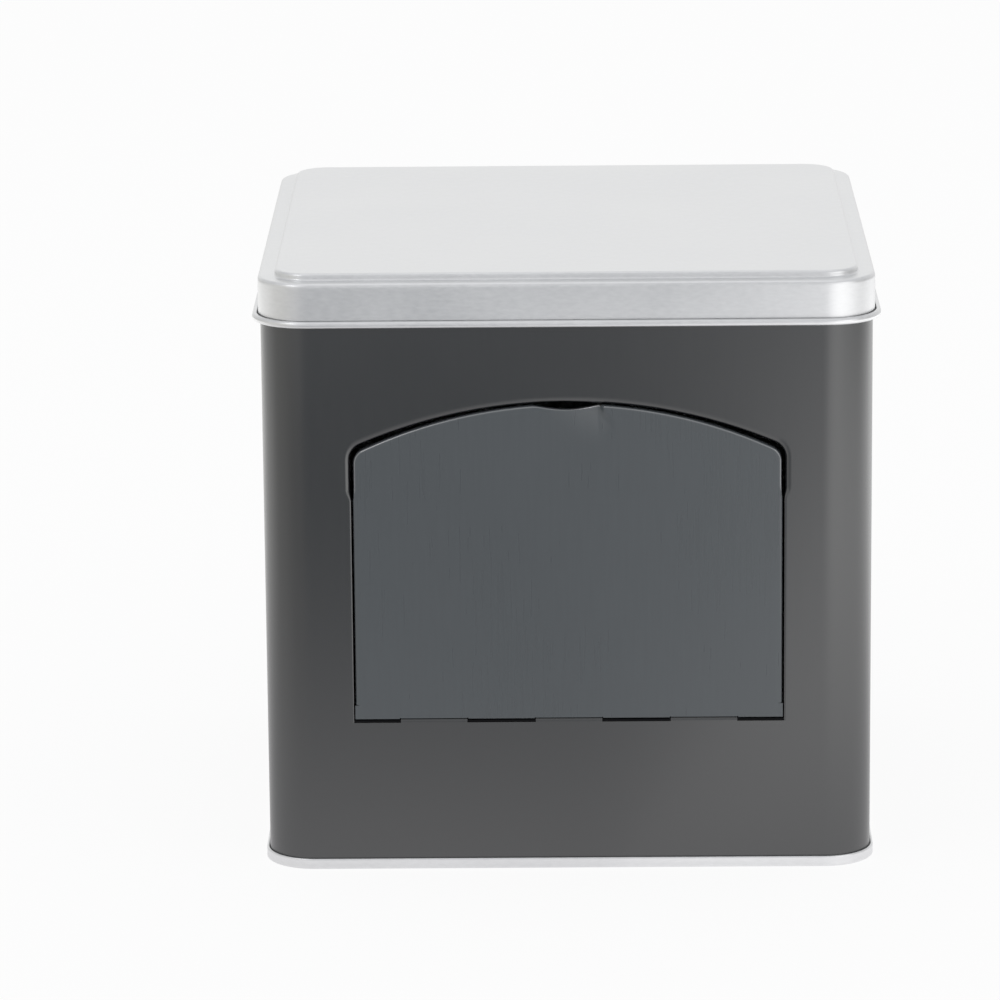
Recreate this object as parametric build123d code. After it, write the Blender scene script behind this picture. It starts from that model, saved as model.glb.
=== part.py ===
"""Square tinplate storage canister with a lift-off lid and a tip-out door in its front.

Millimetres, +Z up, the front towards -Y. The origin is the centre of the base, on the surface it stands on.
"""
import os
from math import atan2, cos, degrees, radians, sin, sqrt

from build123d import *

# Overall sizes
body_width = 180.0
body_depth = 180.0
overall_height = 180.0
corner_radius = 14.0
tinplate = 0.3

# Base seam: how the bottom is rolled round the foot of the wall
seam_height = 3.2
seam_play = 0.03
seam_foot_radius = 0.45
body_hook_height = 2.4
cover_hook_end = 1.1
floor_height = 3.5
floor_bend = 0.6

# Top edge of the wall and its lock seam at the back
hem_length = 3.0
hem_opening = 0.1
lock_seam_width = 4.0
lock_seam_layers = 3
lock_seam_groove = 0.15
lock_seam_margin = 2.0

# Lid
lid_height = 15.1
lid_side_clearance = 0.3
lid_seat_clearance = 0.2
lid_shoulder_radius = 1.2
lid_ledge_width = 3.3
lid_panel_rise = 2.0
lid_step_radius = 0.9
lid_curl_radius = 1.05
lid_curl_wrap = 305.0

# Door opening in the front
opening_width = 127.8
opening_rise = 96.8
opening_arch_radius = 155.0
opening_corner_radius = 5.0
lip_bend = 1.5
lip_depth = 3.0
lip_end_rise = 69.2
lip_relief = 0.4

# Hinge
hinge_height = 45.2
wire_diameter = 1.5
wire_overhang = 2.0
hinge_clearance = 0.05
knuckle_wrap = 200.0
door_knuckle_bend = 0.5
end_knuckle_width = 13.5
knuckle_spaces = 5
knuckle_side_play = 0.3
wall_edge_drop = 0.2
door_edge_rise = 1.15

# Door
rim_gap = 1.05
fold_gap = 0.8
foot_gap = 0.4
crown_gap = 0.6
door_arch_radius = 143.0
door_corner_radius = 4.5
rim_bend = 0.8
rim_depth = 2.5
fold_bend = 0.8
fold_rise = 5.3
dish_width = 21.0
dish_depth = 2.4
dish_edge_drop = 1.2
opening_angle = 50.0
stop_clearance = 0.25
stop_lip_width = 3.0
stop_lip_length = 26.0
cheek_top_margin = 1.0
cheek_heel = 8.0
cheek_corner = 4.0
rim_margin = 0.5
fold_relief = 0.5

# How far a cutting tool reaches past the sheet it cuts
overcut = 1.0

# Places worked out from the sizes above
half_width = body_width / 2
half_depth = body_depth / 2
front = -half_depth
wire_radius = wire_diameter / 2
knuckle_inner = wire_radius + hinge_clearance
knuckle_outer = knuckle_inner + tinplate
axis_y = front + knuckle_outer
ledge_top = overall_height - lid_panel_rise
wall_top = ledge_top - tinplate - lid_seat_clearance
lid_bottom = overall_height - lid_height
skirt_inner = lid_side_clearance
skirt_outer = skirt_inner + tinplate
opening_crown = hinge_height + opening_rise
lip_end = hinge_height + lip_end_rise
fold_low = hinge_height + fold_rise
fold_cut = fold_low - fold_relief
cheek_top = lip_end - cheek_top_margin
rim_end = lip_end + rim_margin


def bent_strip(centre, outer, inner, start_angle, sweep):
    """Arc-shaped strip of sheet between two radii, from start_angle through sweep degrees."""
    end_angle = start_angle + sweep
    middle_angle = start_angle + sweep / 2

    def at(radius, angle):
        return (centre[0] + radius * cos(radians(angle)), centre[1] + radius * sin(radians(angle)))

    outer_arc = ThreePointArc(at(outer, start_angle), at(outer, middle_angle), at(outer, end_angle))
    inner_arc = ThreePointArc(at(inner, end_angle), at(inner, middle_angle), at(inner, start_angle))
    first_end = Line(at(outer, end_angle), at(inner, end_angle))
    last_end = Line(at(inner, start_angle), at(outer, start_angle))
    return make_face(Curve() + [outer_arc, first_end, inner_arc, last_end])


def strip(low, high):
    """Rectangle from its low corner to its high corner."""
    width = high[0] - low[0]
    height = high[1] - low[1]
    return Pos(low[0] + width / 2, low[1] + height / 2) * Rectangle(width, height)


def joined(pieces):
    """Fuse shapes into one."""
    return pieces[0] + pieces[1:]


def ring_of(profile):
    """Carry a profile once round the tin.

    The profile is drawn as (outward from the wall's outer face, height).
    """
    straight_x = half_width - corner_radius
    straight_y = half_depth - corner_radius
    section = Plane(origin=(0, 0, 0), x_dir=(0, -1, 0), z_dir=(-1, 0, 0))
    on_front = Pos(straight_x, front, 0) * (section * profile)
    side = extrude(on_front, amount=2 * straight_x, dir=(-1, 0, 0))
    pieces = [side, Rot(0, 0, 180) * side]
    on_left = Rot(0, 0, -90) * (section * profile)
    on_left = Pos(-half_width, -straight_y, 0) * on_left
    other_side = extrude(on_left, amount=2 * straight_y, dir=(0, 1, 0))
    pieces += [other_side, Rot(0, 0, 180) * other_side]
    for turn, x, y in ((0, -1, -1), (-90, -1, 1), (180, 1, 1), (90, 1, -1)):
        corner = Pos(0, -corner_radius, 0) * (section * profile)
        corner = revolve(corner, axis=Axis.Z, revolution_arc=-90)
        pieces.append(Pos(x * straight_x, y * straight_y, 0) * (Rot(0, 0, turn) * corner))
    return joined(pieces)


def plate(offset, low, high):
    """Flat plate inside the ring, with its edge at an offset from the wall's outer face."""
    outline = RectangleRounded(body_width + 2 * offset, body_depth + 2 * offset, corner_radius + offset)
    return Pos(0, 0, low) * extrude(outline, amount=high - low)


class Arch:
    """Outline of an arched opening: straight sides, rounded corners and a wide arc over the top."""

    def __init__(self, half, crown, radius, corner):
        self.half = half
        self.crown = crown
        self.radius = radius
        self.corner = corner
        self.centre_height = crown - radius
        self.corner_x = half - corner
        rise = sqrt((radius - corner) ** 2 - self.corner_x ** 2)
        self.corner_height = self.centre_height + rise
        self.corner_angle = degrees(atan2(rise, self.corner_x))

    def face(self, offset, low):
        """Filled outline in the XZ plane, grown by an offset, from a low edge up."""
        half = self.half + offset
        corner = self.corner + offset
        radius = self.radius + offset

        def on_corner(side, angle):
            x = self.corner_x + corner * cos(radians(angle))
            return (side * x, self.corner_height + corner * sin(radians(angle)))

        crown = (0, self.centre_height + radius)
        edges = [
            Line((half, low), (half, self.corner_height)),
            ThreePointArc(on_corner(1, 0), on_corner(1, self.corner_angle / 2), on_corner(1, self.corner_angle)),
            ThreePointArc(on_corner(1, self.corner_angle), crown, on_corner(-1, self.corner_angle)),
            ThreePointArc(on_corner(-1, self.corner_angle), on_corner(-1, self.corner_angle / 2), on_corner(-1, 0)),
            Line((-half, self.corner_height), (-half, low)),
            Line((-half, low), (half, low)),
        ]
        return make_face(Curve() + edges)

    def block(self, offset, low, y_from, y_to):
        """The filled outline as a solid between two depths."""
        outline = Plane(origin=(0, y_to, 0), x_dir=(1, 0, 0), z_dir=(0, -1, 0)) * self.face(offset, low)
        return extrude(outline, amount=y_to - y_from, dir=(0, -1, 0))

    def turned_edge(self, profile, low):
        """Carry a profile along the outline; it is drawn as (outward, depth behind the front)."""
        section = Plane.XY
        side = Pos(self.half, front, low) * (section * profile)
        side = extrude(side, amount=self.corner_height - low, dir=(0, 0, 1))
        corner = Pos(self.corner, 0, 0) * (section * profile)
        corner = revolve(corner, axis=Axis.Y, revolution_arc=-self.corner_angle)
        corner = Pos(self.corner_x, front, self.corner_height) * corner
        top = Pos(self.radius, 0, 0) * (section * profile)
        top = revolve(top, axis=Axis.Y, revolution_arc=-(180 - 2 * self.corner_angle))
        top = Rot(0, -self.corner_angle, 0) * top
        top = Pos(0, front, self.centre_height) * top
        half = joined([side, corner])
        return joined([half, top, mirror(half, about=Plane.YZ)])


opening = Arch(opening_width / 2, opening_crown, opening_arch_radius, opening_corner_radius)
door_edge = Arch(opening_width / 2 - rim_gap, opening_crown - crown_gap, door_arch_radius, door_corner_radius)
door_half = opening_width / 2 - fold_gap
foot_half = opening_width / 2 - foot_gap
knuckle_width = (2 * foot_half - 2 * end_knuckle_width) / knuckle_spaces


def knuckle_spans(first):
    """Where the hinge's inner knuckles start and end: first 0 gives the wall's tabs, 1 the door's."""
    spans = []
    for index in range(first, knuckle_spaces, 2):
        start = -foot_half + end_knuckle_width + index * knuckle_width
        spans.append((start + knuckle_side_play / 2, start + knuckle_width - knuckle_side_play / 2))
    return spans


def along_x(profile, start, end):
    """Extrude a profile, drawn as (Y, Z), from one X to another."""
    section = Plane(origin=(start, 0, 0), x_dir=(0, 1, 0), z_dir=(1, 0, 0))
    return extrude(section * profile, amount=end - start, dir=(1, 0, 0))


def box(low, high):
    """Box between two corners."""
    size = [high[i] - low[i] for i in range(3)]
    centre = [(high[i] + low[i]) / 2 for i in range(3)]
    return Pos(*centre) * Box(*size)


def lip_profile(bend, depth, side):
    """Turned-in edge as (outward, depth): side 1 bends from the outside in, side -1 from the inside out."""
    if side > 0:
        arc = bent_strip((bend, bend), bend, bend - tinplate, 180, 90)
        leg = strip((0, bend), (tinplate, depth))
    else:
        arc = bent_strip((-bend, bend), bend, bend - tinplate, 270, 90)
        leg = strip((-tinplate, bend), (0, depth))
    return arc + leg


def make_body_wall():
    """Wrapper sheet with its base hook, top hem, lock seam, arched opening and hinge tabs."""
    hook_gap = tinplate + 2 * seam_play
    hook_radius = hook_gap / 2
    hook_centre = (hook_radius, tinplate + seam_play + hook_radius + tinplate)
    hem_radius = hem_opening / 2
    hem_centre = (-tinplate - hem_radius, wall_top - tinplate - hem_radius)
    profile = joined([
        strip((-tinplate, hook_centre[1]), (0, hem_centre[1])),
        bent_strip(hook_centre, hook_radius + tinplate, hook_radius, 180, 180),
        strip((hook_gap, hook_centre[1]), (hook_gap + tinplate, body_hook_height)),
        bent_strip(hem_centre, hem_radius + tinplate, hem_radius, 0, 180),
        strip((-2 * tinplate - hem_opening, hem_centre[1] - hem_length), (-tinplate - hem_opening, hem_centre[1])),
    ])
    wall = ring_of(profile)

    back_inner = half_depth - tinplate
    ridge_low = seam_height + lock_seam_margin
    ridge_high = hem_centre[1] - hem_length - lock_seam_margin
    ridge_depth = lock_seam_layers * tinplate
    ridge = box((-lock_seam_width / 2, back_inner - ridge_depth, ridge_low),
                (lock_seam_width / 2, half_depth - tinplate / 2, ridge_high))
    groove_x = lock_seam_width / 2 - tinplate
    groove = box((groove_x, half_depth - lock_seam_groove, ridge_low),
                 (groove_x + tinplate, half_depth + overcut, ridge_high))
    wall = wall + ridge - groove

    cut_from = front - overcut
    cut_to = front + tinplate + overcut
    wall = wall - opening.block(lip_bend, lip_end, cut_from, cut_to)
    bend_half = opening.half + lip_bend
    wall = wall - box((-bend_half, cut_from, lip_end - lip_relief), (bend_half, cut_to, lip_end))
    wall = wall - box((-opening.half, cut_from, hinge_height - wall_edge_drop), (opening.half, cut_to, lip_end))
    wall = wall + opening.turned_edge(lip_profile(lip_bend, lip_depth, 1), lip_end)

    tab = joined([
        bent_strip((axis_y, hinge_height), knuckle_outer, knuckle_inner, 180 - knuckle_wrap - 90, knuckle_wrap + 90),
        strip((front, hinge_height - 2 * wall_edge_drop), (front + tinplate, hinge_height)),
    ])
    return wall + [along_x(tab, start, end) for start, end in knuckle_spans(0)]


def make_base_pan():
    """Bottom: floor, countersink wall and the seam ring rolled up round the wall's hook."""
    chuck_inner = -2 * tinplate - seam_play
    cover_inner = seam_play
    roll_inner = (tinplate + 2 * seam_play) / 2
    roll_outer = roll_inner + tinplate
    roll_centre = (cover_inner + roll_outer, seam_height - roll_outer)
    seaming_outer = cover_inner + 2 * roll_outer
    foot_inner_left = chuck_inner + seam_foot_radius
    foot_inner_right = seaming_outer - seam_foot_radius
    bend_inner = floor_bend
    bend_outer = floor_bend + tinplate
    bend_centre = (chuck_inner - bend_inner, floor_height - floor_bend)
    foot_inner = seam_foot_radius - tinplate
    profile = joined([
        bent_strip(roll_centre, roll_outer, roll_inner, 0, 180),
        strip((cover_inner, cover_hook_end), (cover_inner + tinplate, roll_centre[1])),
        strip((seaming_outer - tinplate, seam_foot_radius), (seaming_outer, roll_centre[1])),
        bent_strip((foot_inner_right, seam_foot_radius), seam_foot_radius, foot_inner, 270, 90),
        strip((foot_inner_left, 0), (foot_inner_right, tinplate)),
        bent_strip((foot_inner_left, seam_foot_radius), seam_foot_radius, foot_inner, 180, 90),
        strip((chuck_inner, seam_foot_radius), (chuck_inner + tinplate, bend_centre[1])),
        bent_strip(bend_centre, bend_outer, bend_inner, 0, 90),
    ])
    floor = plate(bend_centre[0], floor_height, floor_height + tinplate)
    return ring_of(profile) + floor


def make_lid():
    """Drawn lid: raised panel, ledge, rounded shoulder, skirt and the curl round its bottom edge."""
    curl_inner = lid_curl_radius - tinplate
    curl_centre = (skirt_inner + lid_curl_radius, lid_bottom + lid_curl_radius)
    shoulder_inner = lid_shoulder_radius - tinplate
    shoulder_centre = (skirt_outer - lid_shoulder_radius, ledge_top - lid_shoulder_radius)
    ledge_end = shoulder_centre[0] - lid_ledge_width
    foot_outer = lid_step_radius
    foot_inner = lid_step_radius - tinplate
    step_low = (ledge_end, ledge_top + foot_inner)
    step_x = ledge_end - foot_inner
    step_high = (step_x - lid_step_radius, overall_height - lid_step_radius)
    profile = joined([
        bent_strip(curl_centre, lid_curl_radius, curl_inner, 180, lid_curl_wrap),
        strip((skirt_inner, curl_centre[1]), (skirt_outer, shoulder_centre[1])),
        bent_strip(shoulder_centre, lid_shoulder_radius, shoulder_inner, 0, 90),
        strip((ledge_end, ledge_top - tinplate), (shoulder_centre[0], ledge_top)),
        bent_strip(step_low, foot_outer, foot_inner, 180, 90),
        bent_strip(step_high, lid_step_radius, foot_inner, 0, 90),
        strip((step_x - tinplate, step_low[1]), (step_x, step_high[1])),
    ])
    panel = plate(step_high[0], overall_height - tinplate, overall_height)
    return ring_of(profile) + panel


def closed(y, z):
    """Where a point of the open door, given from the hinge, lies once the door is shut."""
    turn = radians(opening_angle)
    return (axis_y + y * cos(turn) + z * sin(turn), hinge_height - y * sin(turn) + z * cos(turn))


def make_cheek():
    """Side cheek of the door: its fold, its fan-shaped plate and the lip that stops against the wall."""
    fold_centre = (door_half - fold_bend, front + fold_bend)
    fold = bent_strip(fold_centre, fold_bend, fold_bend - tinplate, 270, 90)
    fold = Pos(0, 0, fold_low) * extrude(fold, amount=cheek_top - fold_low)

    front_edge = front + fold_bend
    reach = sqrt((cheek_top - hinge_height) ** 2 + (front_edge - axis_y) ** 2)
    stop_face = front + tinplate + stop_clearance - axis_y
    rear = stop_face + tinplate
    rear_top = sqrt(reach ** 2 - rear ** 2)
    low_rear = closed(rear, cheek_heel)
    high_rear = closed(rear, rear_top)
    start_angle = atan2(cheek_top - hinge_height, front_edge - axis_y)
    end_angle = atan2(high_rear[1] - hinge_height, high_rear[0] - axis_y)
    middle = (start_angle + end_angle) / 2
    arc_middle = (axis_y + reach * cos(middle), hinge_height + reach * sin(middle))
    outline = make_face(Curve() + [
        Line((front_edge, fold_low), (front_edge, cheek_top)),
        ThreePointArc((front_edge, cheek_top), arc_middle, high_rear),
        Line(high_rear, low_rear),
        Line(low_rear, (front_edge, fold_low)),
    ])
    corner = outline.vertices().sort_by_distance((high_rear[0], high_rear[1], 0))[0]
    outline = fillet(corner, radius=cheek_corner)
    fan = along_x(outline, door_half - tinplate, door_half)

    lip_top = rear_top - cheek_corner
    lip = box((door_half - tinplate, stop_face, lip_top - stop_lip_length),
              (door_half + stop_lip_width, stop_face + tinplate, lip_top))
    lip = Pos(0, axis_y, hinge_height) * (Rot(-opening_angle, 0, 0) * lip)
    return joined([fold, fan, lip])


def make_door():
    """Tip-out door: face, turned-in rim, finger dish, side cheeks and hinge knuckles."""
    back = front + tinplate
    flat_half = door_half - fold_bend
    bend_rise = knuckle_inner + door_knuckle_bend
    face = door_edge.block(-rim_bend, rim_end, front, back)
    face = face + box((-flat_half, front, fold_cut), (flat_half, back, rim_end))
    face = face + box((-foot_half, front, hinge_height + bend_rise), (foot_half, back, fold_cut))
    for start, end in knuckle_spans(0):
        face = face + box((start, front, hinge_height + door_edge_rise), (end, back, hinge_height + bend_rise))

    dish_half = dish_width / 2
    flat_top = door_edge.crown - rim_bend
    ball_radius = (dish_half ** 2 + dish_depth ** 2) / (2 * dish_depth)
    ball_centre = Pos(0, front + dish_depth - ball_radius, flat_top)
    hollow = ball_centre * Sphere(ball_radius)
    shell = ball_centre * Sphere(ball_radius + tinplate) - hollow
    dish_back = front + dish_depth + overcut
    shell = shell & door_edge.block(-rim_bend, flat_top - dish_width, front, dish_back)
    face = face - hollow + shell
    notch_radius = (dish_half ** 2 + dish_edge_drop ** 2) / (2 * dish_edge_drop)
    notch = Cylinder(notch_radius, 2 * (dish_depth + overcut), rotation=(90, 0, 0))
    face = face - Pos(0, front, flat_top - dish_edge_drop + notch_radius) * notch

    rim = door_edge.turned_edge(lip_profile(rim_bend, rim_depth, -1), rim_end)
    rim = rim - box((-dish_half, front - overcut, rim_end), (dish_half, front + rim_depth + overcut, overall_height))
    cheek = make_cheek()
    door = joined([face, rim, cheek, mirror(cheek, about=Plane.YZ)])

    bend_centre = (front + door_knuckle_bend, hinge_height + bend_rise)
    knuckle = joined([
        bent_strip(bend_centre, door_knuckle_bend, door_knuckle_bend - tinplate, 180, 90),
        strip((bend_centre[0], hinge_height + knuckle_inner), (axis_y, hinge_height + knuckle_outer)),
        bent_strip((axis_y, hinge_height), knuckle_outer, knuckle_inner, 90 - knuckle_wrap, knuckle_wrap),
    ])
    end_inner = foot_half - end_knuckle_width + knuckle_side_play / 2
    spans = [(-foot_half, -end_inner)] + knuckle_spans(1) + [(end_inner, foot_half)]
    return door + [along_x(knuckle, start, end) for start, end in spans]


def make_hinge_wire():
    """Straight wire through the knuckles and the tabs."""
    half_length = foot_half + wire_overhang
    return Pos(0, axis_y, hinge_height) * (Rot(0, 90, 0) * Cylinder(wire_radius, 2 * half_length))


if __name__ == "__main__":
    os.makedirs("parts", exist_ok=True)
    parts = {
        "body_wall": make_body_wall(),
        "base_pan": make_base_pan(),
        "lid": make_lid(),
        "door": make_door(),
        "hinge_wire": make_hinge_wire(),
    }
    for name, shape in parts.items():
        export_step(shape, f"parts/{name}.step")
        print(name, round(shape.volume, 1), "mm3,", len(shape.solids()), "solid")
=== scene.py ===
"""Looks of a square tinplate storage canister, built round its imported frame.

Sizes are metres in the frame's own axes: +Z up, the door towards -Y, the base standing on Z = 0.
Each folded sheet is drawn by its outer face and then given its thickness.
"""
import math

import bmesh
import bpy
from mathutils import Matrix, Vector


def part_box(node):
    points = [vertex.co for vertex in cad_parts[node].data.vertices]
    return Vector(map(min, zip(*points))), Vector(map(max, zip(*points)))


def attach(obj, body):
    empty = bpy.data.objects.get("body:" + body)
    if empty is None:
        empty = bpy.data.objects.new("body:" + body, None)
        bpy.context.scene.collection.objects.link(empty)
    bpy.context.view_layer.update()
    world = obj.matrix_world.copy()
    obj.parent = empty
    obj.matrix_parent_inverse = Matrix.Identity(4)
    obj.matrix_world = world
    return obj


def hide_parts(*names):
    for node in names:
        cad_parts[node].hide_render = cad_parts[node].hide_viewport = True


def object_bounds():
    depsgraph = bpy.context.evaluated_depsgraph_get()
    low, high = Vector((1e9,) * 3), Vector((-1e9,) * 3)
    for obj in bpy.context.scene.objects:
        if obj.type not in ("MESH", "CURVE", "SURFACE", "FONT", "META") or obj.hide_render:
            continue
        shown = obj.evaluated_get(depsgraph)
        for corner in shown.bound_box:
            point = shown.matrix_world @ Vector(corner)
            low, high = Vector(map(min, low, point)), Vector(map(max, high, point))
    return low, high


bl_info = {
    "name": "Tinplate Storage Canister",
    "version": (1, 0, 0),
    "blender": (4, 5, 0),
    "location": "3D View > Sidebar > Canister",
    "description": "Builds the sheet-metal pieces of a square storage canister on its packed frame",
    "category": "Object",
}

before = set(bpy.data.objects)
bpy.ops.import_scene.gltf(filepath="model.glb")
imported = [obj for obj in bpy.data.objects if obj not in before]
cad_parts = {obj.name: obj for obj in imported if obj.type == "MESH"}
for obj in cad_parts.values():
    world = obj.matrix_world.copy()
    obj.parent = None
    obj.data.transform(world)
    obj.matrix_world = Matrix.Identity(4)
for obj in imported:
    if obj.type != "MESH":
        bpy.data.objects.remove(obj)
cad_low, cad_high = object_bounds()
wall_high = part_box("body_wall")[1]

MM = 0.001

# Points closer than this are welded
WELD = 0.001 * MM

# Width of the plain strip beside a bend, which keeps the flat face's shading clean
SUPPORT = 0.4 * MM

# Edges that turn more than this are shaded sharp
SHARP_TURN = math.radians(38)

# How far the refilled front reaches past the opening, and below the hinge
WINDOW_MARGIN = 2 * MM
WINDOW_DROP = 5 * MM

# The lock seam's line outside: rings as (size beyond the line in mm, share of its depth)
GROOVE_RINGS = ((0.16, 0.0), (0.08, 0.02), (0.02, 0.08), (0.0, 1.0))

# Size of the door's rim below its arch, of the full rim's
RIM_END_SHARE = 0.25

# The finger dish's right end: the crease inside it, the fall beyond the crease, and the fall's
# distance from the dish's soft margin
CREASE_INSET = 1.3 * MM
CREASE_FALL = 1.9 * MM
CREASE_MARGIN = 0.7 * MM

# How the door's edge is cut over the dish: power of the curve, and how soon the bend is tight
NOTCH_POWER = 1.4
NOTCH_TIGHTENING = 3

# Power of the dish's slope from its left end to the crease
DISH_POWER = 3

# Faces of the bends given the glossier lacquer as a painted highlight line, picked by which way they
# face: the range of their normals' Y, and the least Z of those over the dish
WALL_BEND = (-0.9, -0.2)
DOOR_BEND = (-0.9, -0.25)
BEND_OVER_DISH = 0.25

# Where the dish's edge shows the bare sheet as a painted highlight line, on up-facing faces right of the
# middle:
# the part of the half width, and the least Z of the faces' normals as (lower limit, start, fall to the
# right end)
BARE_HIGHLIGHT_PART = (0.1, 0.97)
BARE_HIGHLIGHT_TILT = (0.4, 0.95, 0.8)

# Places of the finishes in the list of a thickened sheet
INSIDE = 1
# the glossier copy of the lacquer, which paints highlight lines on bends
HIGHLIGHT_LACQUER = 2

# Colours of the room by compass angle: (degrees from the camera's side, linear colour)
ROOM = (
    (-180, (1.02, 1.02, 1.015)), (-120, (0.66, 0.66, 0.65)), (-60, (0.72, 0.715, 0.69)),
    (-20, (0.84, 0.84, 0.85)), (-7, (0.56, 0.57, 0.59)), (3, (0.54, 0.55, 0.57)),
    (14, (1.05, 1.05, 1.06)), (28, (1.25, 1.25, 1.25)), (55, (0.85, 0.85, 0.85)),
    (85, (0.50, 0.50, 0.50)), (135, (0.80, 0.80, 0.80)),
)
OVERHEAD = (0.66, 0.665, 0.68, 1.0)
OVERHEAD_HEIGHTS = (0.3, 0.7)

# Painted glow that the floor shows only in reflections, by compass angle in the same way: brightness
# that stands in for the light falling on the floor
FLOOR_GLOW = (
    (-180, (0.92, 0.92, 0.92)), (-135, (1.45, 1.45, 1.43)), (-103, (1.20, 1.19, 1.17)),
    (-69, (0.66, 0.655, 0.64)), (-30, (0.36, 0.36, 0.36)), (-10, (0.23, 0.25, 0.27)),
    (1, (0.21, 0.235, 0.255)), (6, (0.46, 0.47, 0.49)), (12, (1.42, 1.42, 1.43)),
    (22, (1.60, 1.60, 1.60)), (45, (1.55, 1.55, 1.55)), (80, (1.45, 1.45, 1.45)),
    (120, (1.80, 1.80, 1.80)), (150, (1.20, 1.20, 1.20)),
)
BRIGHTEST = 2.4

# Close to the tin the floor's painted glow in reflections has one colour, and far away it takes the
# room's
NEAR_GLOW = (0.90, 0.893, 0.905, 1.0)
NEAR_REACH = 0.40
FAR_BAND = (0.74, 1.0)

# What the camera sees of the floor: the share that is plain white, and how bright that is
WHITE_SHARE = 0.9
WHITE_GLOW = 1.02

# Lamps: name, place, size and power
LAMPS = (
    ("left softbox", (-0.70, -0.75, 1.15), (0.35, 0.35), 1.1),
    ("right softbox", (1.05, -0.95, 0.65), (0.5, 0.9), 1.0),
    ("top softbox", (0.0, 0.1, 1.35), (1.2, 1.2), 1.1),
)

# Settings

def length(name, description, millimetres):
    """A length property, given in millimetres and kept in metres."""
    return bpy.props.FloatProperty(
        name=name, description=description, default=millimetres * MM, unit="LENGTH", precision=5)


def angle(name, description, degrees):
    """An angle property, given in degrees."""
    return bpy.props.FloatProperty(
        name=name, description=description, default=math.radians(degrees), subtype="ANGLE")


def share(name, description, default, highest=1.0):
    """A plain number from nothing to its highest value."""
    return bpy.props.FloatProperty(
        name=name, description=description, default=default, min=0.0, max=highest)


def whole(name, description, default):
    """A whole number."""
    return bpy.props.IntProperty(name=name, description=description, default=default)


def colour(name, description, default):
    """A linear colour."""
    return bpy.props.FloatVectorProperty(
        name=name, description=description, default=default, size=3, subtype="COLOR", min=0.0, max=1.0)


class TinSizes(bpy.types.PropertyGroup):
    """Sizes that all the sheet pieces share."""

    width: length("Width", "Across the wall's outer faces", 180.0)
    depth: length("Depth", "From the wall's front to its back", 180.0)
    height: length("Height", "From the table to the lid's top", cad_high.z / MM)
    corner_radius: length("Corner radius", "Radius of the wall's upright corners", 14.0)
    sheet: length("Sheet", "Thickness of the tinplate", 0.3)
    station_spacing: length("Station spacing", "Distance between cuts round the tin", 1.2)


class LidSizes(bpy.types.PropertyGroup):
    """Sizes of the lift-off lid."""

    depth: length("Depth", "From the lid's top to its lower edge", 15.1)
    skirt_gap: length("Skirt gap", "Clearance between skirt and wall", 0.3)
    shoulder_radius: length("Shoulder radius", "Round between ledge and skirt", 1.2)
    ledge_width: length("Ledge width", "Flat ledge round the raised panel", 3.3)
    panel_rise: length("Panel rise", "Height of the panel above the ledge", 2.0)
    step_radius: length("Step radius", "Rounds at the foot and the top of the step", 0.9)
    curl_radius: length("Curl radius", "Outer radius of the rolled lower edge", 1.05)
    curl_wrap: angle("Curl wrap", "How far the lower edge is rolled round", 288.0)


class SeamSizes(bpy.types.PropertyGroup):
    """Sizes of the bottom and its rolled seam."""

    height: length("Height", "Height of the seam ring", 3.2)
    play: length("Play", "Clearance between the hooked sheets", 0.03)
    foot_radius: length("Foot radius", "Rounds at the ring's lower edge", 0.45)
    wall_hook: length("Wall hook", "Height of the wall's hook inside the ring", 2.4)
    cover_hook_end: length("Cover hook end", "Height at which the bottom's hook ends", 1.1)
    floor_height: length("Floor height", "Height of the floor's underside", 3.5)
    floor_bend: length("Floor bend", "Inner radius between floor and ring", 0.6)
    waist: length("Waist", "Depth of the roller's mark round the ring", 0.07)


class WallSizes(bpy.types.PropertyGroup):
    """Sizes of the wall's hem and lock seam."""

    top: length("Top", "Height of the wall's hemmed edge", wall_high.z / MM)
    hem_length: length("Hem length", "Depth of the folded top edge", 3.0)
    hem_opening: length("Hem opening", "Gap inside the fold", 0.1)
    seam_width: length("Lock seam width", "Width of the folded seam at the back", 4.0)
    seam_layers: whole("Lock seam layers", "Sheets inside the seam", 3)
    seam_groove: length("Lock seam groove", "Depth of the line that shows outside", 0.15)
    seam_margin: length("Lock seam margin", "Where the seam ends short of ring and hem", 2.0)


class OpeningSizes(bpy.types.PropertyGroup):
    """Sizes of the arched opening in the front."""

    width: length("Width", "Between the opening's sides", 127.8)
    rise: length("Rise", "From the hinge to the crown", 96.8)
    arch_radius: length("Arch radius", "Radius over the top", 155.0)
    corner_radius: length("Corner radius", "Radius where the arch meets the sides", 5.0)
    lip_bend: length("Lip bend", "Radius of the turned-in lip", 1.5)
    lip_depth: length("Lip depth", "How far the lip reaches inside", 3.0)
    lip_end_rise: length("Lip end", "Height above the hinge at which the lip ends", 69.2)
    crown_stretch: share("Crown stretch", "How much wider the lip's bend is over the arch", 1.35, 3.0)
    run_out: length("Run-out", "Length over which the lip turns into the edge below it", 3.5)
    edge_share: share("Edge share", "Width of the turned edge below the lip, of the lip's", 0.4)
    edge_depth_share: share("Edge depth share", "Depth of that edge, of the lip's", 0.15)
    edge_inset: length("Edge inset", "How much further in the edge below the lip is", 0.2)


class HingeSizes(bpy.types.PropertyGroup):
    """Sizes of the wire and the curls that hold it."""

    height: length("Height", "Height of the wire's centre", 45.2)
    wire: length("Wire", "Diameter of the wire", 1.5)
    overhang: length("Overhang", "Wire past the outer curls", 2.2)
    play: length("Play", "Clearance round the wire", 0.05)
    wrap: angle("Wrap", "How far a curl reaches past its top", 200.0)
    door_bend: length("Door bend", "Radius where the door's sheet meets its curls", 0.5)
    end_width: length("End curl width", "Width of the door's outer curls", 13.3)
    spaces: whole("Spaces", "Curls between the outer two", 5)
    side_play: length("Side play", "Gap between neighbouring curls", 0.3)
    wall_drop: length("Wall drop", "Wall's edge below the wire's centre", 0.2)
    door_rise: length("Door rise", "Door's edge above the wire's centre", 1.15)


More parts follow.
